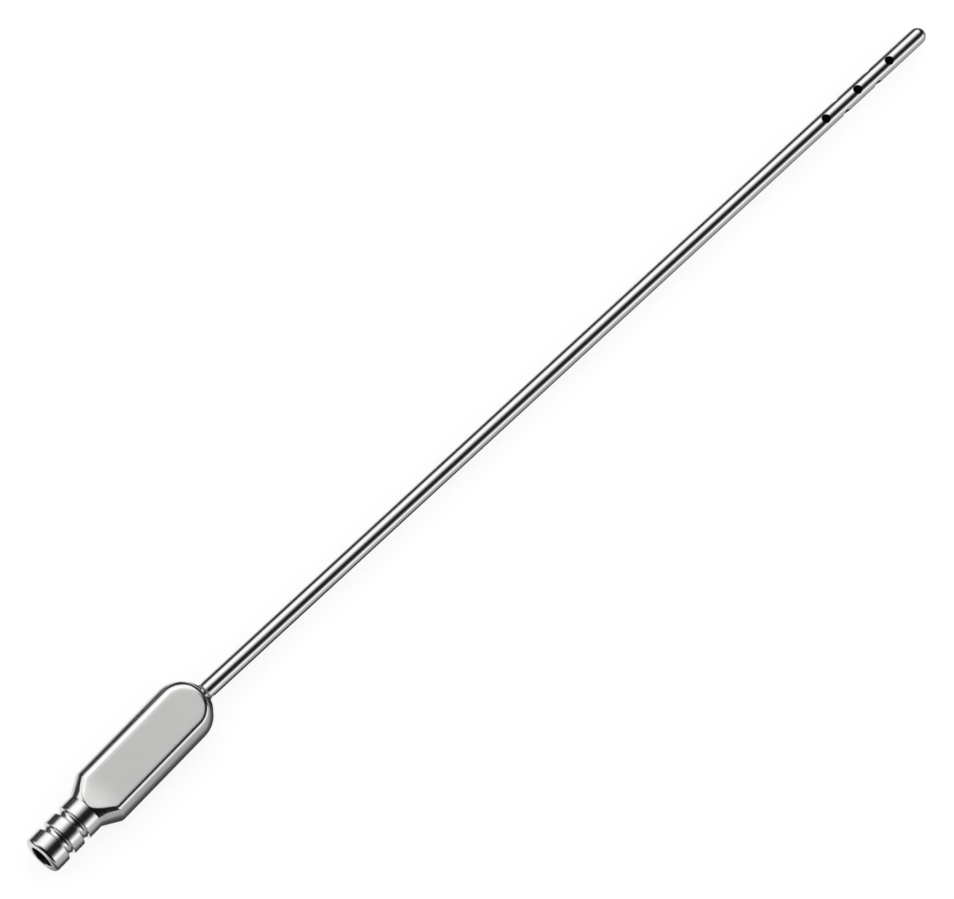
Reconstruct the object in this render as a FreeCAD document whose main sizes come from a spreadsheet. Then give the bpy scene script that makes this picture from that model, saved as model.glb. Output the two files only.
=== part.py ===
"""Fat harvesting cannula, in millimetres.

A stainless steel hub holds a long thin suction tube with a closed tip. +X runs from the mouth of the luer
taper towards the tip, +Z is the outward normal of the hub's upper flat, and the origin is the centre of the
luer mouth.
"""
import FreeCAD, Part
import math
import os

import Sketcher
from FreeCAD import Placement, Rotation, Vector

# Driving dimensions. Lengths are in millimetres, angles in degrees, and the luer slope is a ratio.
SIZES = {
    # Hub, outside
    "collar_diameter": 7.2,
    "collar_length": 10.7,
    "shoulder_angle": 28.0,
    "body_diameter": 10.8,
    "nose_centre": 33.8,
    "flat_step": 0.1,
    "rear_rim_chamfer": 0.35,
    # Grooves round the collar
    "groove_count": 2,
    "first_groove": 3.75,
    "groove_pitch": 3.6,
    "groove_radius": 0.6,
    "lip_width": 0.3,
    "lip_drop": 0.3,
    # Rounded edges of the hub
    "neck_round": 0.5,
    "shoulder_round": 1.2,
    "flat_edge_round": 0.8,
    # Waterway through the hub
    "luer_mouth": 4.3,
    "luer_depth": 8.0,
    "luer_slope": 0.06,
    "luer_chamfer": 0.12,
    "passage_diameter": 2.4,
    "socket_depth": 10.0,
    "socket_clearance": 0.02,
    # Tube
    "tube_diameter": 3.0,
    "tube_wall": 0.3,
    "tube_reach": 175.0,
    "tube_lean": 3.0,
    # Ports
    "port_diameter": 1.65,
    "port_pitch": 8.0,
    "first_port": 9.0,
    "top_ports": 3,
    "side_ports": 2,
    # Ring of brazing metal round the tube at the nose
    "braze_height": 0.33,
    "braze_length": 0.42,
}

# Sizes that several pieces share, as expressions of the spreadsheet's cells.
COLLAR_RADIUS = "Sizes.collar_diameter / 2"
BODY_RADIUS = "Sizes.body_diameter / 2"
# Each flat lies a small step above the collar, so that it runs out on the cone.
FLAT_HEIGHT = f"{COLLAR_RADIUS} + Sizes.flat_step"
LUER_RADIUS = "Sizes.luer_mouth / 2"
PASSAGE_RADIUS = "Sizes.passage_diameter / 2"
TUBE_RADIUS = "Sizes.tube_diameter / 2"
TUBE_BORE_RADIUS = f"({TUBE_RADIUS} - Sizes.tube_wall)"
SHOULDER_END = f"(Sizes.collar_length + ({BODY_RADIUS} - {COLLAR_RADIUS}) / tan(Sizes.shoulder_angle))"

# Places along the tube, measured from the centre of the round nose.
SOCKET_FLOOR = f"{BODY_RADIUS} - Sizes.socket_depth"
TIP = f"{BODY_RADIUS} + Sizes.tube_reach"
DOME_CENTRE = f"{TIP} - {TUBE_RADIUS}"
FIRST_PORT = f"{TIP} - Sizes.first_port"

# The tube leans from the hub's axis towards -Y, by a turn about this axis.
LEAN_AXIS = Vector(0, 0, -1)

FULL_TURN = 360.0
NEAR = 1e-4


def make_sheet(doc):
    """Write every driving dimension into a named cell of the spreadsheet."""
    sheet = doc.addObject("Spreadsheet::Sheet", "Sizes")
    for row, (name, value) in enumerate(SIZES.items(), start=1):
        sheet.set(f"A{row}", name.replace("_", " "))
        sheet.set(f"B{row}", str(value))
        sheet.setAlias(f"B{row}", name)
    doc.recompute()


def make_body(doc, name):
    """An empty body whose label is the name of its file."""
    body = doc.addObject("PartDesign::Body", name)
    body.Label = name
    return body


def origin_item(body, role):
    """One of a body's own origin planes or axes."""
    return next(item for item in body.Origin.OriginFeatures if item.Role == role)


def lean_from_nose(item, placement):
    """Move an item to the centre of the round nose and lean it as the tube leans."""
    start = Vector(SIZES["nose_centre"], 0, 0)
    setattr(item, placement, Placement(start, Rotation(LEAN_AXIS, SIZES["tube_lean"])))
    item.setExpression(f"{placement}.Base.x", "Sizes.nose_centre")
    item.setExpression(f"{placement}.Rotation.Angle", "Sizes.tube_lean")


class BoundSketch:
    """A sketch on one of a body's origin planes, with every coordinate bound to the spreadsheet."""

    def __init__(self, body, name, plane):
        self.sketch = body.newObject("Sketcher::SketchObject", name)
        self.sketch.AttachmentSupport = [(origin_item(body, plane), "")]
        self.sketch.MapMode = "FlatFace"

    def value(self, expression):
        """The number that an expression gives with the present sizes."""
        return float(self.sketch.evalExpression(expression))

    def point(self, across, up):
        """A point of the sketch plane from two expressions."""
        return Vector(self.value(across), self.value(up), 0)

    def bind(self, kind, *references, to):
        """Add one dimension and bind it to an expression."""
        index = self.sketch.addConstraint(Sketcher.Constraint(kind, *references, self.value(to)))
        self.sketch.setExpression(f"Constraints[{index}]", to)

    def fix(self, geometry, vertex, across=None, up=None):
        """Fix a vertex in one direction or in both. A coordinate of "0" puts it on that axis."""
        for kind, expression, axis in (("DistanceX", across, -2), ("DistanceY", up, -1)):
            if expression == "0":
                self.sketch.addConstraint(Sketcher.Constraint("PointOnObject", geometry, vertex, axis))
            elif expression:
                self.bind(kind, -1, 1, geometry, vertex, to=expression)

    def circle(self, centre, radius):
        """A whole circle, from the expressions of its centre and radius."""
        shape = Part.Circle(self.point(*centre), Vector(0, 0, 1), self.value(radius))
        geometry = self.sketch.addGeometry(shape, False)
        self.fix(geometry, 3, *centre)
        self.bind("Radius", geometry, to=radius)
        return self.sketch

    def outline(self, corners):
        """A closed outline. A corner's third entry is the centre of the arc that leads on from it."""
        sides = []
        for number, (across, up, *centre) in enumerate(corners):
            start, end = self.point(across, up), self.point(*corners[(number + 1) % len(corners)][:2])
            if centre:
                shape, vertices = self.arc(start, end, self.point(*centre[0]))
            else:
                shape, vertices = Part.LineSegment(start, end), (1, 2)
            sides.append((self.sketch.addGeometry(shape, False), *vertices))
        for number, (across, up, *centre) in enumerate(corners):
            side, first, last = sides[number]
            following, joined, _ = sides[(number + 1) % len(sides)]
            self.sketch.addConstraint(Sketcher.Constraint("Coincident", side, last, following, joined))
            self.fix(side, first, across, up)
            if centre:
                self.fix(side, 3, up=centre[0][1])
        return self.sketch

    def arc(self, start, end, centre):
        """An arc of under half a turn between two points, and the numbers of its first and last vertex."""
        circle = Part.Circle(centre, Vector(0, 0, 1), (start - centre).Length)
        first = math.atan2(start.y - centre.y, start.x - centre.x)
        last = math.atan2(end.y - centre.y, end.x - centre.x)
        if (last - first) % math.tau < math.pi:
            return Part.ArcOfCircle(circle, first, last), (1, 2)
        return Part.ArcOfCircle(circle, last, first), (2, 1)


def turn(body, kind, name, sketch):
    """Turn a profile a full turn about its own horizontal axis, to add material or to cut it."""
    feature = body.newObject(f"PartDesign::{kind}", name)
    feature.Profile = sketch
    feature.ReferenceAxis = (sketch, ["H_Axis"])
    feature.Angle = FULL_TURN
    body.Document.recompute()
    return feature


def cut_through(body, name, sketch, symmetric):
    """Cut a profile right through, on both sides of its plane or only on the side of +Z."""
    pocket = body.newObject("PartDesign::Pocket", name)
    pocket.Profile = sketch
    pocket.Type = "ThroughAll"
    if symmetric:
        pocket.SideType = "Symmetric"
    else:
        pocket.Reversed = True
    body.Document.recompute()
    return pocket


def repeat_along_x(body, name, feature, pitch, count, backwards=False):
    """Repeat a feature at an even pitch along the body's X axis."""
    pattern = body.newObject("PartDesign::LinearPattern", name)
    pattern.Originals = [feature]
    pattern.Direction = (origin_item(body, "X_Axis"), [""])
    pattern.Reversed = backwards
    pattern.Mode = "Spacing"
    pattern.setExpression("Offset", pitch)
    pattern.setExpression("Occurrences", count)
    body.Tip = pattern
    body.Document.recompute()
    return pattern


def round_edges(body, name, radius, chosen):
    """Round those edges of the body so far that pass a test."""
    base = body.Tip
    edges = [f"Edge{number}" for number, edge in enumerate(base.Shape.Edges, start=1) if chosen(edge)]
    fillet = body.newObject("PartDesign::Fillet", name)
    fillet.Base = (base, edges)
    fillet.setExpression("Radius", radius)
    body.Tip = fillet
    body.Document.recompute()
    return fillet


def is_level_at(edge, height):
    """Whether a whole edge lies in one of the two level planes at a height above or below the axis."""
    box = edge.BoundBox
    return not edge.Degenerated and box.ZLength < NEAR and abs(abs(box.Center.z) - height) < NEAR


def groove_corners(number):
    """One round-bottomed groove of the collar, with a sloping lip on each side."""
    centre = f"(Sizes.first_groove + {number} * Sizes.groove_pitch)"
    half_width = "sqrt(Sizes.groove_radius ^ 2 - Sizes.lip_drop ^ 2)"
    lip_foot = f"{COLLAR_RADIUS} - Sizes.lip_drop"
    return [
        (f"{centre} - {half_width} - Sizes.lip_width", COLLAR_RADIUS),
        (f"{centre} - {half_width}", lip_foot, (centre, COLLAR_RADIUS)),
        (f"{centre} + {half_width}", lip_foot),
        (f"{centre} + {half_width} + Sizes.lip_width", COLLAR_RADIUS),
    ]


def bend_corners(across, up, radius, side):
    """The rounded corner where the shoulder's cone meets a cylinder, on its rear or its front side."""
    setback = f"{radius} * tan(Sizes.shoulder_angle / 2)"
    on_cone = (
        f"{across} - {side} * {setback} * cos(Sizes.shoulder_angle)",
        f"{up} - {side} * {setback} * sin(Sizes.shoulder_angle)",
    )
    on_cylinder = (f"{across} + {side} * {setback}", up)
    centre = (on_cylinder[0], f"{up} - {side} * {radius}")
    first, last = (on_cone, on_cylinder) if side > 0 else (on_cylinder, on_cone)
    return [(*first, centre), last]


def turn_hub_outside(body):
    """The grooved collar, the cone that joins it to the grip, and the round grip with its ball nose."""
    rim = "Sizes.rear_rim_chamfer"
    grooves = [corner for number in range(SIZES["groove_count"]) for corner in groove_corners(number)]
    sketch = BoundSketch(body, "outside_profile", "XZ_Plane").outline(
        [
            ("0", "0"),
            ("0", f"{COLLAR_RADIUS} - {rim}"),
            (rim, COLLAR_RADIUS),
            *grooves,
            *bend_corners("Sizes.collar_length", COLLAR_RADIUS, "Sizes.neck_round", -1),
            *bend_corners(SHOULDER_END, BODY_RADIUS, "Sizes.shoulder_round", 1),
            ("Sizes.nose_centre", BODY_RADIUS, ("Sizes.nose_centre", "0")),
            (f"Sizes.nose_centre + {BODY_RADIUS}", "0"),
        ]
    )
    turn(body, "Revolution", "turned_outside", sketch)


def mill_flats(body):
    """The upper and the lower flat, with softened edges."""
    front = f"Sizes.nose_centre + {BODY_RADIUS}"
    profile = BoundSketch(body, "flat_profile", "XZ_Plane")
    sketch = profile.outline(
        [
            ("Sizes.collar_length", FLAT_HEIGHT),
            (front, FLAT_HEIGHT),
            (front, "Sizes.body_diameter"),
            ("Sizes.collar_length", "Sizes.body_diameter"),
        ]
    )
    upper = cut_through(body, "upper_flat", sketch, symmetric=True)
    both = body.newObject("PartDesign::Mirrored", "both_flats")
    both.Originals = [upper]
    both.MirrorPlane = (origin_item(body, "XY_Plane"), [""])
    body.Tip = both
    body.Document.recompute()
    height = profile.value(FLAT_HEIGHT)
    round_edges(body, "rounded_flat_edges", "Sizes.flat_edge_round", lambda edge: is_level_at(edge, height))


def bore_waterway(body):
    """The luer taper with its chamfered mouth, and the drilled passage to the tube's socket."""
    taper_end = f"{LUER_RADIUS} - (Sizes.luer_depth - Sizes.luer_chamfer) * Sizes.luer_slope / 2"
    sketch = BoundSketch(body, "waterway_profile", "XZ_Plane").outline(
        [
            ("0", "0"),
            ("0", f"{LUER_RADIUS} + Sizes.luer_chamfer"),
            ("Sizes.luer_chamfer", LUER_RADIUS),
            ("Sizes.luer_depth", taper_end),
            ("Sizes.luer_depth", PASSAGE_RADIUS),
            ("Sizes.nose_centre", PASSAGE_RADIUS),
            ("Sizes.nose_centre", "0"),
        ]
    )
    turn(body, "Groove", "waterway", sketch)


def bore_socket(body):
    """The socket for the tube, along the tube's own leaning axis."""
    profile = BoundSketch(body, "socket_profile", "XY_Plane")
    lean_from_nose(profile.sketch, "AttachmentOffset")
    radius = f"{TUBE_RADIUS} + Sizes.socket_clearance"
    sketch = profile.outline(
        [
            (SOCKET_FLOOR, "0"),
            (SOCKET_FLOOR, radius),
            ("Sizes.body_diameter", radius),
            ("Sizes.body_diameter", "0"),
        ]
    )
    turn(body, "Groove", "tube_socket", sketch)


def make_hub(doc):
    """The hub, turned, milled flat on two sides and bored from both ends."""
    body = make_body(doc, "hub")
    turn_hub_outside(body)
    mill_flats(body)
    bore_waterway(body)
    bore_socket(body)
    return body


def make_tube(doc):
    """The suction tube, with its closed round tip and its ports."""
    body = make_body(doc, "cannula_tube")
    lean_from_nose(body, "Placement")
    sketch = BoundSketch(body, "wall_profile", "XY_Plane").outline(
        [
            (SOCKET_FLOOR, TUBE_BORE_RADIUS),
            (SOCKET_FLOOR, TUBE_RADIUS),
            (DOME_CENTRE, TUBE_RADIUS, (DOME_CENTRE, "0")),
            (TIP, "0"),
            (f"{DOME_CENTRE} + {TUBE_BORE_RADIUS}", "0", (DOME_CENTRE, "0")),
            (DOME_CENTRE, TUBE_BORE_RADIUS),
        ]
    )
    turn(body, "Revolution", "drawn_tube", sketch)

    port_radius = "Sizes.port_diameter / 2"
    top = BoundSketch(body, "top_port_profile", "XY_Plane").circle((FIRST_PORT, "0"), port_radius)
    top_port = cut_through(body, "top_port", top, symmetric=False)
    repeat_along_x(body, "top_port_row", top_port, "Sizes.port_pitch", "Sizes.top_ports", backwards=True)

    between = f"{FIRST_PORT} - Sizes.port_pitch / 2"
    side = BoundSketch(body, "side_port_profile", "XZ_Plane").circle((between, "0"), port_radius)
    side_port = cut_through(body, "side_port", side, symmetric=True)
    repeat_along_x(body, "side_port_row", side_port, "Sizes.port_pitch", "Sizes.side_ports", backwards=True)
    return body


def make_braze(doc):
    """The sloping ring of brazing metal that fills the corner between the ball nose and the tube."""
    body = make_body(doc, "braze_joint")
    lean_from_nose(body, "Placement")
    top = f"{TUBE_RADIUS} + Sizes.braze_height"
    corner = f"sqrt(({BODY_RADIUS}) ^ 2 - ({TUBE_RADIUS}) ^ 2)"
    sketch = BoundSketch(body, "ring_profile", "XY_Plane").outline(
        [
            (corner, TUBE_RADIUS),
            (f"{corner} + Sizes.braze_length", TUBE_RADIUS),
            (f"sqrt(({BODY_RADIUS}) ^ 2 - ({top}) ^ 2)", top, ("0", "0")),
        ]
    )
    turn(body, "Revolution", "braze_ring", sketch)
    return body


def check_model(doc, bodies):
    """Stop if anything failed to compute, or if a cut took nothing away."""
    for item in doc.Objects:
        if {"Invalid", "Error"} & set(item.State):
            raise RuntimeError(f"{item.Label} did not compute: {item.State}")
        if item.TypeId in ("PartDesign::Groove", "PartDesign::Pocket"):
            if item.Shape.Volume >= item.BaseFeature.Shape.Volume - NEAR:
                raise RuntimeError(f"{item.Label} cuts nothing")
    for body in bodies:
        if body.Shape.isNull() or not body.Shape.isValid() or len(body.Shape.Solids) != 1:
            raise RuntimeError(f"{body.Label} is not one valid solid")


def main():
    """Build the document, check it and write one STEP file for each piece."""
    doc = FreeCAD.newDocument("fat_harvesting_cannula")
    make_sheet(doc)
    bodies = [make_hub(doc), make_tube(doc), make_braze(doc)]
    doc.recompute()
    check_model(doc, bodies)
    os.makedirs("parts", exist_ok=True)
    for body in bodies:
        body.Shape.exportStep(f"parts/{body.Label}.step")
        box = body.Shape.BoundBox
        print(f"{body.Label}: {body.Shape.Volume:.2f} mm3, x from {box.XMin:.2f} to {box.XMax:.2f}")


main()
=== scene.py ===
"""A fat harvesting cannula on a white bench: its dressed pieces, the soft light and the camera.

The modelling classes work in millimetres. A finished piece is brought to metres before its place is applied, so
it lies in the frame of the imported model: the origin at the centre of the luer mouth, +X towards the tip and +Z
up from the upper flat.
"""
import logging
import math
from dataclasses import dataclass, field
from enum import Enum
from typing import Callable, Sequence

import bmesh
import bpy
from mathutils import Matrix, Vector


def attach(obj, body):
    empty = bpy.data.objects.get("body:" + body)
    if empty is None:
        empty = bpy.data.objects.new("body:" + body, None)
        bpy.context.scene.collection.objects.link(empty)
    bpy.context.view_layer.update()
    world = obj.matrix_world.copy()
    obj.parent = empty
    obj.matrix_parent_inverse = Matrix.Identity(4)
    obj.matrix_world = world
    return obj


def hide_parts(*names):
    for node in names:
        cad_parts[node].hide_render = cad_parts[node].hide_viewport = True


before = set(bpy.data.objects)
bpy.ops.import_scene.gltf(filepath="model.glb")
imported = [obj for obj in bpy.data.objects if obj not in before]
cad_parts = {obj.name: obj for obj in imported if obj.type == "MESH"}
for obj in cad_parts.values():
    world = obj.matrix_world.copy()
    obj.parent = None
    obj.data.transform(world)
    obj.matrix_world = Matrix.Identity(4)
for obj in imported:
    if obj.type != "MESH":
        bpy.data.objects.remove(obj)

LOG = logging.getLogger("cannula")
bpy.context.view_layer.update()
METRES = 0.001
MERGE_DISTANCE = 0.0005
MARK_DISTANCE = 0.00001
WHITE = (1.0, 1.0, 1.0, 1.0)
BODY = "root"

Point = tuple[float, float]


class Slot(Enum):
    """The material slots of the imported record."""

    HUB = "hub_steel"
    TUBE = "tube_steel"
    BRAZE = "brazing_metal"


class Part(Enum):
    """What a selection picks."""

    VERTICES = "VERT"
    FACES = "FACE"


# Modelling


def arc_points(centre: Point, radius: float, start: float, end: float, steps: int) -> list[Point]:
    """Points along an arc, both ends included.

    Args:
        centre: Centre of the arc, as (along, out).
        radius: Radius of the arc.
        start: Angle of the first point in degrees, from the +along direction.
        end: Angle of the last point in degrees.
        steps: Number of chords.

    Returns:
        The points, one more than the chords.
    """
    angles = [math.radians(start + (end - start) * step / steps) for step in range(steps + 1)]
    return [(centre[0] + radius * math.cos(angle), centre[1] + radius * math.sin(angle)) for angle in angles]


def between(start: Point, end: Point, steps: int) -> list[Point]:
    """Evenly spaced points between two others, which are left out."""
    return [(start[0] + (end[0] - start[0]) * step / steps, start[1] + (end[1] - start[1]) * step / steps)
            for step in range(1, steps)]


def deselect_everything() -> None:
    """Leave edit mode and deselect every object."""
    if bpy.context.object and bpy.context.object.mode != "OBJECT":
        bpy.ops.object.mode_set(mode="OBJECT")
    bpy.ops.object.select_all(action="DESELECT")


@dataclass
class Workpiece:
    """One mesh while it is being shaped in millimetres."""

    name: str
    thing: bpy.types.Object = field(init=False)

    def __post_init__(self) -> None:
        """Start from a small plane, to be reshaped by the methods below."""
        deselect_everything()
        bpy.ops.mesh.primitive_plane_add(size=1.0)
        self.take_active()

    def take_active(self) -> None:
        """Hold the active object under this piece's name."""
        self.thing = bpy.context.object
        self.thing.name = self.thing.data.name = self.name

    def edit(self, kind: Part = Part.VERTICES) -> None:
        """Open the mesh for editing.

        Args:
            kind: What is selected there.
        """
        deselect_everything()
        self.thing.select_set(True)
        bpy.context.view_layer.objects.active = self.thing
        bpy.ops.object.mode_set(mode="EDIT")
        bpy.ops.mesh.select_mode(type=kind.value)

    def pick_faces(self, test: Callable[[Vector], bool]) -> None:
        """Select the faces that lie wholly where a test holds.

        Args:
            test: Says whether a point, in millimetres, is wanted.
        """
        self.edit(Part.FACES)
        bpy.ops.mesh.select_all(action="DESELECT")
        mesh = bmesh.from_edit_mesh(self.thing.data)
        for face in mesh.faces:
            if all(test(vertex.co) for vertex in face.verts):
                face.select_set(True)
        mesh.select_flush_mode()
        bmesh.update_edit_mesh(self.thing.data)

    def draw_profile(self, points: Sequence[Point], closed: bool = False) -> None:
        """Turn the plane into a chain of edges that follows a half profile in the XZ plane.

        Args:
            points: Corners as (along X, out from the axis).
            closed: Whether the last corner is joined to the first.
        """
        self.edit()
        bpy.ops.mesh.select_all(action="SELECT")
        bpy.ops.mesh.merge(type="CENTER")
        place = Vector((points[0][0], 0.0, points[0][1]))
        bpy.ops.transform.translate(value=place)
        following = list(points[1:]) + ([points[0]] if closed else [])
        for along, out in following:
            corner = Vector((along, 0.0, out))
            bpy.ops.mesh.extrude_region_move(TRANSFORM_OT_translate={"value": corner - place})
            place = corner

    def spin_about_axis(self, steps: int) -> None:
        """Spin the profile a full turn about the X axis and close its seam and poles.

        Args:
            steps: Number of sides.
        """
        bpy.ops.mesh.select_all(action="SELECT")
        bpy.ops.mesh.spin(steps=steps, angle=math.tau, center=(0.0, 0.0, 0.0), axis=(1.0, 0.0, 0.0))
        self.close_up()

    def close_up(self) -> None:
        """Merge doubled points and face every side outwards."""
        bpy.ops.mesh.select_all(action="SELECT")
        bpy.ops.mesh.remove_doubles(threshold=MERGE_DISTANCE)
        bpy.ops.mesh.delete_loose(use_verts=True, use_edges=True, use_faces=False)
        bpy.ops.mesh.select_all(action="SELECT")
        bpy.ops.mesh.normals_make_consistent(inside=False)

    def reshape(self, moved: Callable[[Vector], Vector]) -> None:
        """Move every point of the mesh to where a function puts it.

        Args:
            moved: Gives the new place of a point, in millimetres.
        """
        self.edit()
        mesh = bmesh.from_edit_mesh(self.thing.data)
        for vertex in mesh.verts:
            vertex.co = moved(vertex.co)
        bmesh.update_edit_mesh(self.thing.data)
        self.close_up()

    def coat(self, test: Callable[[Vector], bool], material: bpy.types.Material) -> None:
        """Give the faces that lie wholly where a test holds a second material.

        Args:
            test: Says whether a point, in millimetres, is wanted.
            material: The material of those faces.
        """
        self.pick_faces(test)
        if not self.thing.data.materials:
            self.thing.data.materials.append(None)
        self.thing.data.materials.append(material)
        self.thing.active_material_index = len(self.thing.data.materials) - 1
        bpy.ops.object.material_slot_assign()

    def apply_modifier(self, kind: str, **settings: object) -> None:
        """Add a modifier and apply it.

        Args:
            kind: The modifier's type.
            settings: Its settings by name.
        """
        deselect_everything()
        self.thing.select_set(True)
        bpy.context.view_layer.objects.active = self.thing
        bpy.ops.object.modifier_add(type=kind)
        modifier = self.thing.modifiers[-1]
        for name, value in settings.items():
            setattr(modifier, name, value)
        bpy.ops.object.modifier_apply(modifier=modifier.name)

    def drill(self, radius: float, start: Vector, end: Vector, steps: int = 48) -> None:
        """Cut a round hole between two points.

        Args:
            radius: Radius of the drill.
            start: Centre of one end of the drill.
            end: Centre of its other end.
            steps: Number of the drill's sides.
        """
        deselect_everything()
        bpy.ops.mesh.primitive_cylinder_add(
            vertices=steps, radius=radius, depth=(end - start).length, location=(start + end) / 2,
            rotation=(end - start).to_track_quat("Z", "Y").to_euler(),
        )
        drill = bpy.context.object
        self.apply_modifier("BOOLEAN", object=drill, operation="DIFFERENCE", solver="EXACT")
        bpy.data.objects.remove(drill, do_unlink=True)

    def finish(self, turn: float = 0.0, shift: float = 0.0, sharp_angle: float = 32.0) -> bpy.types.Object:
        """Shade the piece, bring it to metres and apply its place.

        Args:
            turn: Turn about Z in radians, made before the shift.
            shift: Distance along X in millimetres.
            sharp_angle: Edges that bend by more degrees than this stay crisp.

        Returns:
            The finished object, at the origin and unscaled.
        """
        deselect_everything()
        self.thing.select_set(True)
        bpy.context.view_layer.objects.active = self.thing
        bpy.ops.object.shade_smooth_by_angle(angle=math.radians(sharp_angle))
        self.apply_modifier("WEIGHTED_NORMAL", keep_sharp=True, weight=50)
        self.thing.rotation_euler.z = turn
        self.thing.location.x = shift * METRES
        self.thing.scale = (METRES,) * 3
        bpy.ops.object.transform_apply(location=True, rotation=True, scale=True)
        return self.thing


# Shading


class Signal:
    """A number that flows between shader nodes, with its arithmetic written as on plain numbers."""

    def __init__(self, recipe: "Recipe", socket: bpy.types.NodeSocket) -> None:
        """Wrap an output socket of a recipe's node."""
        self.recipe = recipe
        self.socket = socket

    def combine(self, operation: str, first: "Signal | float", second: "Signal | float") -> "Signal":
        """Put two numbers through a Math node.

        Args:
            operation: The node's operation.
            first: Its first number.
            second: Its second number.

        Returns:
            The result.
        """
        return self.recipe.add("ShaderNodeMath", {"operation": operation}, {0: first, 1: second})

    def __add__(self, other: "Signal | float") -> "Signal":
        """Sum."""
        return self.combine("ADD", self, other)

    __radd__ = __add__

    def __sub__(self, other: "Signal | float") -> "Signal":
        """Difference."""
        return self.combine("SUBTRACT", self, other)

    def __rsub__(self, other: float) -> "Signal":
        """Difference from a plain number."""
        return self.combine("SUBTRACT", other, self)

    def __mul__(self, other: "Signal | float") -> "Signal":
        """Product."""
        return self.combine("MULTIPLY", self, other)

    __rmul__ = __mul__

    def __abs__(self) -> "Signal":
        """Size without the sign."""
        return self.combine("ABSOLUTE", self, 0.0)


class Recipe:
    """The node tree of one material or of the world."""

    def __init__(self, tree: bpy.types.NodeTree) -> None:
        """Empty the tree, ready for its nodes."""
        self.tree = tree
        tree.nodes.clear()

    def node(self, kind: str, settings: dict | None = None, inputs: dict | None = None) -> bpy.types.Node:
        """Make any node.

        Args:
            kind: The node's type.
            settings: Its properties, set first. "stops" are a ramp's (place, colour) pairs.
            inputs: Values or signals of its sockets, by name or number.

        Returns:
            The node.
        """
        made = self.tree.nodes.new(kind)
        for name, value in (settings or {}).items():
            if name == "stops":
                self.set_stops(made.color_ramp, value)
            else:
                setattr(made, name, value)
        for key, value in (inputs or {}).items():
            if isinstance(value, Signal):
                self.tree.links.new(value.socket, made.inputs[key])
            else:
                made.inputs[key].default_value = value
        return made

    @staticmethod
    def set_stops(ramp: bpy.types.ColorRamp, stops: Sequence[tuple[float, Sequence[float]]]) -> None:
        """Give a colour ramp its stops.

        Args:
            ramp: The ramp.
            stops: Places from 0 to 1 with their colours.
        """
        while len(ramp.elements) > 1:
            ramp.elements.remove(ramp.elements[-1])
        for number, (place, colour) in enumerate(stops):
            element = ramp.elements[0] if number == 0 else ramp.elements.new(place)
            element.position = place
            element.color = (*colour, 1.0)

    def add(self, kind: str, settings: dict | None = None, inputs: dict | None = None,
            output: int | str = 0) -> Signal:
        """Make any node and give one of its outputs.

        Args:
            kind: The node's type.
            settings: Its properties.
            inputs: Values or signals of its sockets.
            output: The wanted output.

        Returns:
            That output.
        """
        return Signal(self, self.node(kind, settings, inputs).outputs[output])

    def place(self) -> Signal:
        """A point of the surface in the piece's own frame, in metres."""
        return self.add("ShaderNodeTexCoord", output="Object")

    def parts(self, vector: Signal) -> tuple[Signal, Signal, Signal]:
        """Split a vector.

        Args:
            vector: The vector.

        Returns:
            Its three coordinates.
        """
        split = self.node("ShaderNodeSeparateXYZ", inputs={0: vector})
        return tuple(Signal(self, socket) for socket in split.outputs)

    def ramp_between(self, value: Signal, low: float, high: float) -> Signal:
        """A soft step.

        Args:
            value: What the step depends on.
            low: Value up to which the step is 0.
            high: Value from which it is 1.

        Returns:
            The step.
        """
        return self.add(
            "ShaderNodeMapRange", {"interpolation_type": "SMOOTHSTEP"},
            {"Value": value, "From Min": low, "From Max": high, "To Min": 0.0, "To Max": 1.0},
        )

    def stretched_noise(self, vector: Signal, scale: Sequence[float], detail: float = 2.0,
                        turn: float = 0.0) -> Signal:
        """Noise from 0 to 1 with its own scale along each axis.

        Args:
            vector: The surface point.
            scale: Features a metre along X, Y and Z.
            detail: Octaves of the noise.
            turn: Turn of the pattern about Z in radians.

        Returns:
            The noise's value.
        """
        mapped = self.add(
            "ShaderNodeMapping", {"vector_type": "POINT"},
            {"Vector": vector, "Rotation": (0.0, 0.0, turn), "Scale": tuple(scale)},
        )
        return self.add("ShaderNodeTexNoise", {}, {"Vector": mapped, "Scale": 1.0, "Detail": detail})

    def tint(self, factor: Signal, first: Sequence[float], second: Sequence[float]) -> Signal:
        """Mix two colours.

        Args:
            factor: Share of the second colour.
            first: The colour at 0.
            second: The colour at 1.

        Returns:
            The mixed colour.
        """
        return self.add(
            "ShaderNodeMix", {"data_type": "RGBA"},
            {0: factor, 6: (*first, 1.0), 7: (*second, 1.0)}, output=2,
        )


@dataclass(frozen=True)
class ShadedBoreSteel:
    """Unpolished steel inside a bore, dulled by the drill, its colour darkened to near black as painted shade of
    the bore.
    """

    name: str = "shaded_bore_steel"
    # Near-black colours: painted shade of the bore's depth, far darker than the steel's own tone.
    bright: tuple[float, float, float] = (0.10, 0.098, 0.095)
    dull: tuple[float, float, float] = (0.05, 0.049, 0.047)
    roughness: float = 0.5

    def make(self) -> bpy.types.Material:
        """Build the material.

        Returns:
            The material, not yet on any piece.
        """
        material = bpy.data.materials.new(self.name)
        material.use_nodes = True
        recipe = Recipe(material.node_tree)
        rings = recipe.stretched_noise(recipe.place(), (6000.0, 150.0, 150.0), detail=3.0)
        bump = recipe.add("ShaderNodeBump", {}, {"Strength": 0.3, "Distance": MARK_DISTANCE, "Height": rings})
        shader = recipe.add(
            "ShaderNodeBsdfPrincipled", {},
            {"Base Color": recipe.tint(rings, self.bright, self.dull), "Metallic": 1.0, "Normal": bump,
             "Roughness": self.roughness},
        )
        recipe.node("ShaderNodeOutputMaterial", inputs={"Surface": shader})
        return material


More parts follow.
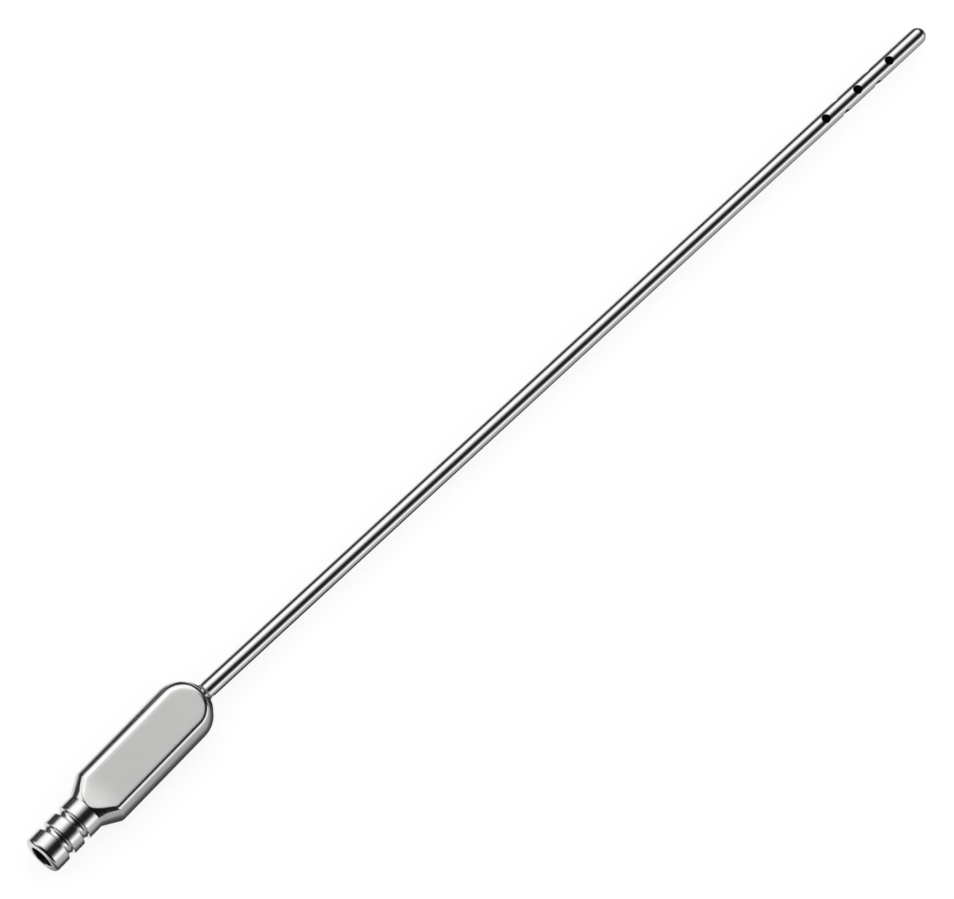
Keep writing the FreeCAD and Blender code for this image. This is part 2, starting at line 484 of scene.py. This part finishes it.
@dataclass(frozen=True)
class Steel:
    """Polished stainless steel with fine tool or drawing marks."""

    name: str
    bright: tuple[float, float, float] = (0.86, 0.855, 0.845)
    dull: tuple[float, float, float] = (0.78, 0.775, 0.765)
    roughness: float = 0.13
    haze: float = 0.05
    mark_scale: tuple[float, float, float] = (9000.0, 60.0, 60.0)
    mark_turn: float = 0.0
    mark_depth: float = 0.04
    # Height of the satin flats, none where it is 0, and where the satin starts and is full below it.
    satin_height: float = 0.0
    satin_starts: float = 0.00006
    satin_full: float = 0.00001
    satin_roughness: float = 0.38
    grain_scale: tuple[float, float, float] = (500.0, 16000.0, 500.0)
    grain_haze: float = 0.05
    # How matt the satin is, how much more so at its rear end, and where along X that ends.
    satin_matt: float = 0.3
    rear_matt: float = 0.35
    rear_place: tuple[float, float] = (0.0115, 0.0165)

    def make(self) -> bpy.types.Material:
        """Build the material.

        Returns:
            The material, not yet on any piece.
        """
        material = bpy.data.materials.new(self.name)
        material.use_nodes = True
        recipe = Recipe(material.node_tree)
        point = recipe.place()
        smudge = recipe.stretched_noise(point, (160.0, 260.0, 260.0), detail=3.0)
        marks = recipe.stretched_noise(point, self.mark_scale, detail=3.0, turn=self.mark_turn)
        rough = self.roughness + smudge * self.haze + marks * (self.haze / 2)
        height, metal = marks, 1.0
        if self.satin_height:
            along, _, up = recipe.parts(point)
            satin = recipe.ramp_between(abs(up), self.satin_height - self.satin_starts,
                                        self.satin_height - self.satin_full)
            grain = recipe.stretched_noise(point, self.grain_scale, detail=2.0)
            rear = 1.0 - recipe.ramp_between(along, *self.rear_place)
            rough = rough + satin * (self.satin_roughness - self.roughness + grain * self.grain_haze)
            metal = 1.0 - satin * (self.satin_matt + rear * self.rear_matt)
            height = marks * (1.0 - satin) + grain * satin
        bump = recipe.add(
            "ShaderNodeBump", {}, {"Strength": self.mark_depth, "Distance": MARK_DISTANCE, "Height": height},
        )
        colour = recipe.tint(smudge, self.bright, self.dull)
        shader = recipe.add(
            "ShaderNodeBsdfPrincipled", {},
            {"Base Color": colour, "Metallic": metal, "Roughness": rough, "Normal": bump},
        )
        recipe.node("ShaderNodeOutputMaterial", inputs={"Surface": shader})
        return material


def dress(piece: bpy.types.Object, material: bpy.types.Material, slot: Slot, *nodes: str) -> None:
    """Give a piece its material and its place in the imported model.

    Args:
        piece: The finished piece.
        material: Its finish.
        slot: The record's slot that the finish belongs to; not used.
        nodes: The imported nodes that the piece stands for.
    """
    if not piece.data.materials:
        piece.data.materials.append(None)
    piece.data.materials[0] = material
    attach(piece, BODY)
    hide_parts(*nodes)
    LOG.info("%s: %d faces, finished in %s", piece.name, len(piece.data.polygons), material.name)


# The cannula


@dataclass
class Hub:
    """The turned and milled hub. Lengths are in millimetres."""

    collar_radius: float = 3.6
    collar_length: float = 10.7
    shoulder_angle: float = 28.0
    body_radius: float = 5.4
    nose_centre: float = 33.8
    flat_height: float = 3.7
    # Half the height over which a flat's edge is polished round: where the flat runs out, and on the +Y and the
    # -Y side of the grip. Then the lengths over which it grows there, and how far from the middle one side's
    # reach gives way to the other's.
    edge_start: float = 0.05
    left_reach: float = 1.0
    right_reach: float = 0.65
    left_growth: float = 3.6
    right_growth: float = 3.2
    side_blend: float = 2.5
    grooves: tuple[float, ...] = (3.75, 7.35)
    groove_radius: float = 0.6
    lip_drop: float = 0.14
    lip_width: float = 0.22
    rim_round: float = 0.7
    neck_round: float = 0.5
    shoulder_round: float = 1.2
    luer_radius: float = 2.15
    luer_depth: float = 8.0
    luer_slope: float = 0.06
    luer_chamfer: float = 0.12
    passage_radius: float = 1.2
    socket_radius: float = 1.52
    socket_floor: float = -4.6
    # How far the drill starts in front of the nose's centre.
    drill_reach: float = 9.0
    lean: float = math.radians(-3.0)
    sides: int = 240
    # Chords along the parts of the half profile.
    rim_steps: int = 8
    neck_steps: int = 5
    cone_steps: int = 44
    shoulder_steps: int = 7
    body_steps: int = 8
    nose_steps: int = 40
    groove_steps: int = 14
    # A groove's lip: places across its width, and how it falls towards the groove.
    lip_places: tuple[float, ...] = (0.15, 0.3, 0.45, 0.6, 0.8, 1.0)
    lip_fall: float = 1.8

    def outside(self) -> list[Point]:
        """The outer half profile.

        Returns:
            Its points from the rear face to the point of the nose.
        """
        points: list[Point] = [(0.0, self.luer_radius + self.luer_chamfer)]
        rim = self.rim_round
        points += arc_points((rim, self.collar_radius - rim), rim, 180.0, 90.0, self.rim_steps)
        for centre in self.grooves:
            points += self.groove(centre)
        tilt = math.radians(self.shoulder_angle)
        shoulder_end = self.collar_length + (self.body_radius - self.collar_radius) / math.tan(tilt)
        setback = self.neck_round * math.tan(tilt / 2)
        neck = arc_points((self.collar_length - setback, self.collar_radius + self.neck_round), self.neck_round,
                          270.0, 270.0 + self.shoulder_angle, self.neck_steps)
        setback = self.shoulder_round * math.tan(tilt / 2)
        shoulder = arc_points((shoulder_end + setback, self.body_radius - self.shoulder_round),
                              self.shoulder_round, 90.0 + self.shoulder_angle, 90.0, self.shoulder_steps)
        points += neck + between(neck[-1], shoulder[0], self.cone_steps) + shoulder
        points += between(shoulder[-1], (self.nose_centre, self.body_radius), self.body_steps)
        points += arc_points((self.nose_centre, 0.0), self.body_radius, 90.0, 0.0, self.nose_steps)
        return points

    def groove(self, centre: float) -> list[Point]:
        """One round-bottomed groove with softly rounded lips.

        Args:
            centre: Its place along X.

        Returns:
            Its points in order.
        """
        half = math.sqrt(self.groove_radius ** 2 - self.lip_drop ** 2)
        foot = math.degrees(math.asin(self.lip_drop / self.groove_radius))
        bottom = arc_points((centre, self.collar_radius), self.groove_radius, 180.0 + foot, 360.0 - foot,
                            self.groove_steps)
        lip = [(half + self.lip_width * share,
                self.collar_radius - self.lip_drop * (1.0 - share) ** self.lip_fall)
               for share in self.lip_places]
        rear = [(centre - reach, out) for reach, out in reversed(lip)]
        front = [(centre + reach, out) for reach, out in lip]
        return rear + bottom + front

    def inside(self) -> list[Point]:
        """The half profile of the waterway.

        Returns:
            Its points from the nose's centre back to the rear face.
        """
        floor_radius = self.luer_radius - (self.luer_depth - self.luer_chamfer) * self.luer_slope / 2
        return [
            (self.nose_centre, 0.0),
            (self.nose_centre, self.passage_radius),
            (self.luer_depth, self.passage_radius),
            (self.luer_depth, floor_radius),
            (self.luer_chamfer, self.luer_radius),
        ]

    def build(self) -> bpy.types.Object:
        """Turn the hub, mill its flats, round their edges and bore the socket.

        Returns:
            The finished hub.
        """
        piece = Workpiece("hub_body")
        piece.draw_profile(self.inside() + self.outside())
        piece.spin_about_axis(self.sides)
        piece.reshape(self.mill)
        start = Vector((self.nose_centre, 0.0, 0.0))
        direction = Vector((math.cos(self.lean), math.sin(self.lean), 0.0))
        piece.drill(self.socket_radius, start + direction * self.socket_floor,
                    start + direction * self.drill_reach)
        # The waterway's faces get the bore steel, whose near-black colour is painted shade.
        mouth = self.luer_radius + self.luer_chamfer / 2
        inner, outer = self.luer_chamfer / 2, self.nose_centre + 1.0
        piece.coat(lambda point: inner < point.x < outer and point.yz.length < mouth, ShadedBoreSteel().make())
        return piece.finish()

    def mill(self, point: Vector) -> Vector:
        """Lower a point of the turned hub to where the milled flats and their polished edges lie.

        Args:
            point: The point of the turned hub.

        Returns:
            Its new place.
        """
        side = min(max(0.5 + point.y / (2.0 * self.side_blend), 0.0), 1.0)
        side = side * side * (3.0 - 2.0 * side)
        left, right = (
            self.edge_start + (full - self.edge_start) * math.sin(
                math.pi / 2 * min(max((point.x - self.collar_length) / growth, 0.0), 1.0))
            for full, growth in ((self.left_reach, self.left_growth), (self.right_reach, self.right_growth))
        )
        reach = right + (left - right) * side
        excess = abs(point.z) - (self.flat_height - reach)
        if excess <= 0.0:
            return point
        height = self.flat_height
        if excess < 2.0 * reach:
            height -= (2.0 * reach - excess) ** 2 / (4.0 * reach)
        return Vector((point.x, point.y, math.copysign(height, point.z)))

    def dress(self, piece: bpy.types.Object) -> None:
        """Give the hub its polished steel with satin flats."""
        steel = Steel("polished_hub_steel", satin_height=self.flat_height * METRES)
        dress(piece, steel.make(), Slot.HUB, "hub")


@dataclass
class SuctionTube:
    """The drawn tube with its round closed tip and its ports, in its own frame from the nose's centre."""

    radius: float = 1.5
    bore_radius: float = 1.2
    rear_end: float = -4.6
    dome_centre: float = 178.9
    port_radius: float = 0.825
    top_ports: tuple[float, ...] = (171.4, 163.4, 155.4)
    side_ports: tuple[float, ...] = (167.4, 159.4)
    sides: int = 64
    dome_steps: int = 12
    # How far outside the wall a drill starts, and how much outside the bore a face still counts as its wall.
    drill_clearance: float = 1.0
    bore_margin: float = 0.02

    def profile(self) -> list[Point]:
        """The closed half profile of the wall.

        Returns:
            Its points, from the rear end along the outside to the tip and back along the bore.
        """
        ports = sorted(self.top_ports + self.side_ports)
        pitch = ports[1] - ports[0]
        loops = [port - pitch / 2 for port in ports] + [ports[-1] + pitch / 2]
        outer = arc_points((self.dome_centre, 0.0), self.radius, 90.0, 0.0, self.dome_steps)
        inner = arc_points((self.dome_centre, 0.0), self.bore_radius, 0.0, 90.0, self.dome_steps)
        return [
            (self.rear_end, self.bore_radius),
            (self.rear_end, self.radius),
            *((loop, self.radius) for loop in loops),
            *outer,
            *inner,
            *((loop, self.bore_radius) for loop in reversed(loops)),
        ]

    def build(self, hub: Hub) -> bpy.types.Object:
        """Spin the tube, drill its ports and set it in the hub.

        Args:
            hub: The hub that holds it.

        Returns:
            The finished tube.
        """
        piece = Workpiece("suction_tube")
        piece.draw_profile(self.profile(), closed=True)
        piece.spin_about_axis(self.sides)
        reach = self.radius + self.drill_clearance
        for place in self.top_ports:
            piece.drill(self.port_radius, Vector((place, 0.0, 0.0)), Vector((place, 0.0, reach)))
        for place in self.side_ports:
            piece.drill(self.port_radius, Vector((place, -reach, 0.0)), Vector((place, reach, 0.0)))
        # The bore's faces get the bore steel, whose near-black colour is painted shade.
        wall = self.bore_radius + self.bore_margin
        piece.coat(lambda point: point.yz.length < wall, ShadedBoreSteel("tube_shaded_bore_steel").make())
        return piece.finish(turn=hub.lean, shift=hub.nose_centre)

    def dress(self, piece: bpy.types.Object, hub: Hub) -> None:
        """Give the tube its polished drawn steel."""
        steel = Steel("polished_tube_steel", mark_scale=(120.0, 9000.0, 9000.0), mark_turn=-hub.lean)
        dress(piece, steel.make(), Slot.TUBE, "cannula_tube")


@dataclass
class BrazeRing:
    """The hollow ring of brazing metal in the corner between the nose and the tube."""

    height: float = 0.33
    length: float = 0.42
    # Where the hollow is pulled to, as shares of the length and the height.
    pull_along: float = 0.22
    pull_out: float = 0.16
    hollow_steps: int = 8
    sides: int = 64

    def build(self, hub: Hub, tube: SuctionTube) -> bpy.types.Object:
        """Spin the ring round the tube.

        Args:
            hub: The hub whose nose it lies on.
            tube: The tube that it holds.

        Returns:
            The finished ring.
        """
        corner = math.sqrt(hub.body_radius ** 2 - tube.radius ** 2)
        top = tube.radius + self.height
        start = (corner + self.length, tube.radius)
        end = (math.sqrt(hub.body_radius ** 2 - top ** 2), top)
        pull = (corner + self.length * self.pull_along, tube.radius + self.height * self.pull_out)
        hollow = [self.curve(start, pull, end, step / self.hollow_steps)
                  for step in range(self.hollow_steps + 1)]
        piece = Workpiece("braze_ring")
        piece.draw_profile([(corner, tube.radius), *hollow], closed=True)
        piece.spin_about_axis(self.sides)
        return piece.finish(turn=hub.lean, shift=hub.nose_centre, sharp_angle=50.0)

    @staticmethod
    def curve(start: Point, pull: Point, end: Point, share: float) -> Point:
        """A point of a curve between two ends.

        Args:
            start: Where it starts.
            pull: The point that it is pulled towards.
            end: Where it ends.
            share: How far along it the wanted point is, from 0 to 1.

        Returns:
            The point.
        """
        rest = 1.0 - share
        return tuple(rest * rest * a + 2.0 * rest * share * b + share * share * c
                     for a, b, c in zip(start, pull, end))

    def dress(self, piece: bpy.types.Object) -> None:
        """Give the ring its duller brazing metal.

        Args:
            piece: The finished ring.
        """
        steel = Steel("brazing_metal", bright=(0.72, 0.71, 0.68), dull=(0.58, 0.57, 0.54), roughness=0.28,
                      haze=0.12, mark_scale=(2500.0, 2500.0, 2500.0), mark_depth=0.3)
        dress(piece, steel.make(), Slot.BRAZE, "braze_joint")


# The studio


@dataclass
class Studio:
    """White bench, a light tent and the cards of painted shade that the steel mirrors."""

    floor_height: float = -3.7 * METRES
    floor_size: float = 6.0
    floor_grey: float = 0.25
    floor_glow: float = 0.77
    card_lift: float = 0.0001
    tent_radius: float = 0.45
    tent_length: float = 1.5
    tent_sides: int = 96
    middle: float = 0.107
    shift: float = 0.11
    # The ramps of the tent hold half the light, which this strength brings back.
    tent_strength: float = 2.0
    # The soft lamp's place from the middle of the part, its two sides in metres and its power in watts.
    lamp_place: tuple[float, float] = (0.35, 0.6)
    lamp_sides: tuple[float, float] = (0.8, 0.5)
    lamp_power: float = 0.35

    # Brightness of the tent by angle from straight up, positive towards -Y, in degrees: beside and before the
    # part, and behind its luer end.
    tent_light: tuple[tuple[float, float], ...] = (
        (-90.0, 0.02), (-80.0, 0.03), (-72.0, 0.45), (-62.0, 1.1), (-34.0, 1.25), (-22.0, 0.98),
        (-10.0, 0.45), (2.0, 0.05), (9.0, 0.01), (37.0, 0.01), (47.0, 0.15), (56.0, 0.75), (63.0, 1.2),
        (73.0, 1.15), (81.0, 0.65), (90.0, 0.5),
    )
    rear_light: tuple[tuple[float, float], ...] = (
        (-90.0, 1.1), (-62.0, 1.1), (-50.0, 0.6), (-40.0, 0.2), (-20.0, 0.005), (90.0, 0.005),
    )
    # Where the rear light gives way to the other, and where both fade at the tent's ends.
    rear_change: tuple[float, float] = (-0.14, -0.06)
    rear_fade: tuple[float, float] = (-0.5, -0.42)
    front_fade: tuple[float, float] = (0.8, 0.95)
    # The bench round the part as the steel mirrors it, with painted shade: cards with their ends along X in
    # metres and their brightness by Y in millimetres. Their dark stretches are the part's shade and shadow on
    # the bench, painted on cards that only reflections see.
    bench_shade_cards: tuple[tuple[str, float, float, tuple[tuple[float, float], ...]], ...] = (
        ("hub_left", -0.5, 0.041, ((5.0, 0.85), (9.5, 0.8), (12.5, 0.03), (450.0, 0.02))),
        ("right", -0.5, 0.7, (
            (-450.0, 0.5), (-140.0, 0.6), (-84.0, 0.62), (-43.0, 0.46), (-17.0, 0.43), (-14.0, 0.36),
            (-12.0, 0.24), (-10.5, 0.14), (-9.0, 0.08), (-5.0, 0.05),
        )),
        ("behind_rim", -0.012, 0.0, ((-5.0, 0.1), (-2.5, 0.3), (0.0, 0.6), (3.5, 0.85), (5.0, 0.9))),
    )
    # The same beside the leaning tube, measured from the nose's centre in the tube's own direction.
    tube_shade_cards: tuple[tuple[str, float, float, tuple[tuple[float, float], ...]], ...] = (
        ("tube_left", 0.0072, 0.6, ((5.0, 0.8), (6.8, 0.8), (8.2, 0.03), (450.0, 0.02))),
        ("under_tube", 0.0072, 0.6, ((-5.0, 0.03), (5.0, 0.03))),
    )

    def build(self, hub: Hub) -> None:
        """Set up the whole studio.

        Args:
            hub: The hub, which says where the tube leans and by how much.
        """
        self.lay_floor()
        self.raise_tent()
        for name, start, end, lights in self.bench_shade_cards:
            self.lay_shade_card(name, start, end, lights)
        for name, start, end, lights in self.tube_shade_cards:
            self.lay_shade_card(name, start, end, lights, hub.nose_centre * METRES, hub.lean)
        self.set_world()
        self.hang_lamp()

    @staticmethod
    def stage(thing: bpy.types.Object, material: bpy.types.Material) -> None:
        """Give a thing of the studio its material.

        Args:
            thing: The floor, the tent or a card.
            material: Its material.
        """
        thing.data.materials.append(material)

    @staticmethod
    def show_to_gloss_only(thing: bpy.types.Object) -> None:
        """Let only mirror reflections see a card."""
        thing.visible_camera = thing.visible_diffuse = thing.visible_shadow = False
        thing.visible_transmission = thing.visible_volume_scatter = False

    def lay_floor(self) -> None:
        """The white bench top."""
        deselect_everything()
        bpy.ops.mesh.primitive_plane_add(size=self.floor_size, location=(self.middle, 0.0, self.floor_height))
        floor = bpy.context.object
        floor.name = "bench"
        material, recipe = self.blank_material("white_bench")
        cloth = recipe.add("ShaderNodeBsdfDiffuse", {}, {"Color": (*(self.floor_grey,) * 3, 1.0)})
        glow = recipe.add("ShaderNodeEmission", {}, {"Color": WHITE, "Strength": self.floor_glow})
        shader = recipe.add("ShaderNodeAddShader", {}, {0: cloth, 1: glow})
        recipe.node("ShaderNodeOutputMaterial", inputs={"Surface": shader})
        self.stage(floor, material)

    @staticmethod
    def blank_material(name: str) -> tuple[bpy.types.Material, Recipe]:
        """An empty material.

        Args:
            name: Its name.

        Returns:
            The material and the recipe to fill in.
        """
        material = bpy.data.materials.new(name)
        material.use_nodes = True
        return material, Recipe(material.node_tree)

    def raise_tent(self) -> None:
        """An arch over the part whose light changes with the angle. It lights nothing and shows only in the
        steel's reflections, so its bright and dark bands are painted highlights and painted shade.
        """
        deselect_everything()
        bpy.ops.mesh.primitive_cylinder_add(
            vertices=self.tent_sides, radius=self.tent_radius, depth=self.tent_length,
            location=(self.middle + self.shift, 0.0, self.floor_height), rotation=(0.0, math.pi / 2, 0.0),
        )
        tent = bpy.context.object
        tent.name = "light_tent"
        bpy.ops.object.transform_apply(location=True, rotation=True, scale=True)
        bpy.ops.object.mode_set(mode="EDIT")
        bpy.ops.mesh.select_all(action="SELECT")
        bpy.ops.mesh.bisect(plane_co=(0.0, 0.0, self.floor_height), plane_no=(0.0, 0.0, -1.0), clear_outer=True)
        bpy.ops.object.mode_set(mode="OBJECT")
        material, recipe = self.blank_material("tent_cloth")
        along, across, up = recipe.parts(recipe.place())
        angle = recipe.add("ShaderNodeMath", {"operation": "ARCTAN2"}, {0: across * -1.0, 1: up})
        share = angle * (1.0 / math.pi) + 0.5
        rear, front = (
            recipe.add("ShaderNodeValToRGB", {
                "stops": [((place + 90.0) / 180.0, (light / self.tent_strength,) * 3)
                          for place, light in lights],
            }, {0: share})
            for lights in (self.rear_light, self.tent_light)
        )
        change = recipe.ramp_between(along, *self.rear_change)
        glow = recipe.add("ShaderNodeMix", {"data_type": "RGBA"}, {0: change, 6: rear, 7: front}, output=2)
        fade = recipe.ramp_between(along, *self.rear_fade)
        fade = fade * (1.0 - recipe.ramp_between(along, *self.front_fade))
        glow = recipe.add("ShaderNodeVectorMath", {"operation": "MULTIPLY"}, {0: glow, 1: fade})
        shader = recipe.add("ShaderNodeEmission", {}, {"Color": glow, "Strength": self.tent_strength})
        recipe.node("ShaderNodeOutputMaterial", inputs={"Surface": shader})
        self.stage(tent, material)
        self.show_to_gloss_only(tent)

    def lay_shade_card(self, name: str, start: float, end: float, lights: Sequence[tuple[float, float]],
                 pivot: float = 0.0, turn: float = 0.0) -> None:
        """A card of painted shade that lies on the bench, seen only in the steel's reflections.

        Args:
            name: Name of the card.
            start: Where it starts along its own X, in metres from the pivot.
            end: Where it ends along its own X.
            lights: Its brightness by its own Y in millimetres, from the lowest Y.
            pivot: Place of its own origin along X, in metres.
            turn: Its turn about Z at the pivot, in radians.
        """
        low, high = lights[0][0] * METRES, lights[-1][0] * METRES
        deselect_everything()
        bpy.ops.mesh.primitive_plane_add(
            size=1.0, location=((start + end) / 2, (low + high) / 2, self.floor_height + self.card_lift))
        card = bpy.context.object
        card.name = name
        card.scale = (end - start, high - low, 1.0)
        bpy.ops.object.transform_apply(location=True, rotation=True, scale=True)
        card.location.x = pivot
        card.rotation_euler.z = turn
        material, recipe = self.blank_material(name + "_shade_card")
        _, across, _ = recipe.parts(recipe.place())
        share = recipe.add("ShaderNodeMapRange", {},
                           {"Value": across, "From Min": low, "From Max": high, "To Min": 0.0, "To Max": 1.0})
        stops = [((place * METRES - low) / (high - low), (light,) * 3) for place, light in lights]
        glow = recipe.add("ShaderNodeValToRGB", {"stops": stops}, {0: share})
        shader = recipe.add("ShaderNodeEmission", {}, {"Color": glow, "Strength": 1.0})
        recipe.node("ShaderNodeOutputMaterial", inputs={"Surface": shader})
        self.stage(card, material)
        self.show_to_gloss_only(card)

    @staticmethod
    def set_world() -> None:
        """A plain white surround."""
        world = bpy.data.worlds.new("white_surround")
        world.use_nodes = True
        recipe = Recipe(world.node_tree)
        background = recipe.add("ShaderNodeBackground", {}, {"Color": WHITE, "Strength": 1.0})
        recipe.node("ShaderNodeOutputWorld", inputs={"Surface": background})
        bpy.context.scene.world = world

    def hang_lamp(self) -> None:
        """One large soft lamp over the left of the part."""
        across, up = self.lamp_place
        bpy.ops.object.light_add(type="AREA", location=(self.middle, across, up))
        lamp = bpy.context.object
        lamp.name = "soft_lamp"
        lamp.rotation_euler = Vector((0.0, -across, -up)).to_track_quat("-Z", "Y").to_euler()
        lamp.data.shape = "RECTANGLE"
        lamp.data.size, lamp.data.size_y = self.lamp_sides
        lamp.data.energy = self.lamp_power
        lamp.visible_glossy = False


@dataclass(frozen=True)
class View:
    """The camera, from the tilt of the part and the place of its luer mouth in the picture."""

    pitch: float = math.radians(18.42)
    roll: float = math.radians(7.52)
    turn: float = math.radians(45.78)
    distance: float = 1.029
    focal_pixels: float = 6307.0
    picture: tuple[int, int] = (954, 899)
    mouth: tuple[float, float] = (41.2, 857.4)
    sensor: float = 36.0
    clip: tuple[float, float] = (0.01, 20.0)

    def place(self) -> None:
        """Make the camera and look through it."""
        above = Vector((0.0, -math.sin(self.roll), math.cos(self.roll)))
        below = Vector((0.0, -math.cos(self.roll), -math.sin(self.roll)))
        along = Vector((1.0, 0.0, 0.0))
        back = math.cos(self.pitch) * above - math.sin(self.pitch) * along
        length = math.cos(self.pitch) * along + math.sin(self.pitch) * above
        right = math.cos(self.turn) * length + math.sin(self.turn) * below
        up = math.sin(self.turn) * length - math.cos(self.turn) * below
        scale = self.distance / self.focal_pixels
        eye = (self.distance * back - (self.mouth[0] - self.picture[0] / 2) * scale * right
               + (self.mouth[1] - self.picture[1] / 2) * scale * up)
        data = bpy.data.cameras.new("photo_camera")
        data.sensor_width = self.sensor
        data.lens = self.focal_pixels * self.sensor / self.picture[0]
        data.clip_start, data.clip_end = self.clip
        camera = bpy.data.objects.new("photo_camera", data)
        bpy.context.scene.collection.objects.link(camera)
        camera.matrix_world = Matrix.Translation(eye) @ Matrix((right, up, back)).transposed().to_4x4()
        bpy.context.scene.camera = camera


def main() -> None:
    """Build the pieces in order, then the studio and the camera."""
    logging.basicConfig(level=logging.INFO, format="%(name)s: %(message)s")
    hub, tube, braze = Hub(), SuctionTube(), BrazeRing()
    hub.dress(hub.build())
    tube.dress(tube.build(hub), hub)
    braze.dress(braze.build(hub, tube))
    Studio().build(hub)
    View().place()
    bpy.context.scene.view_settings.view_transform = "Standard"


if __name__ == "__main__":
    main()
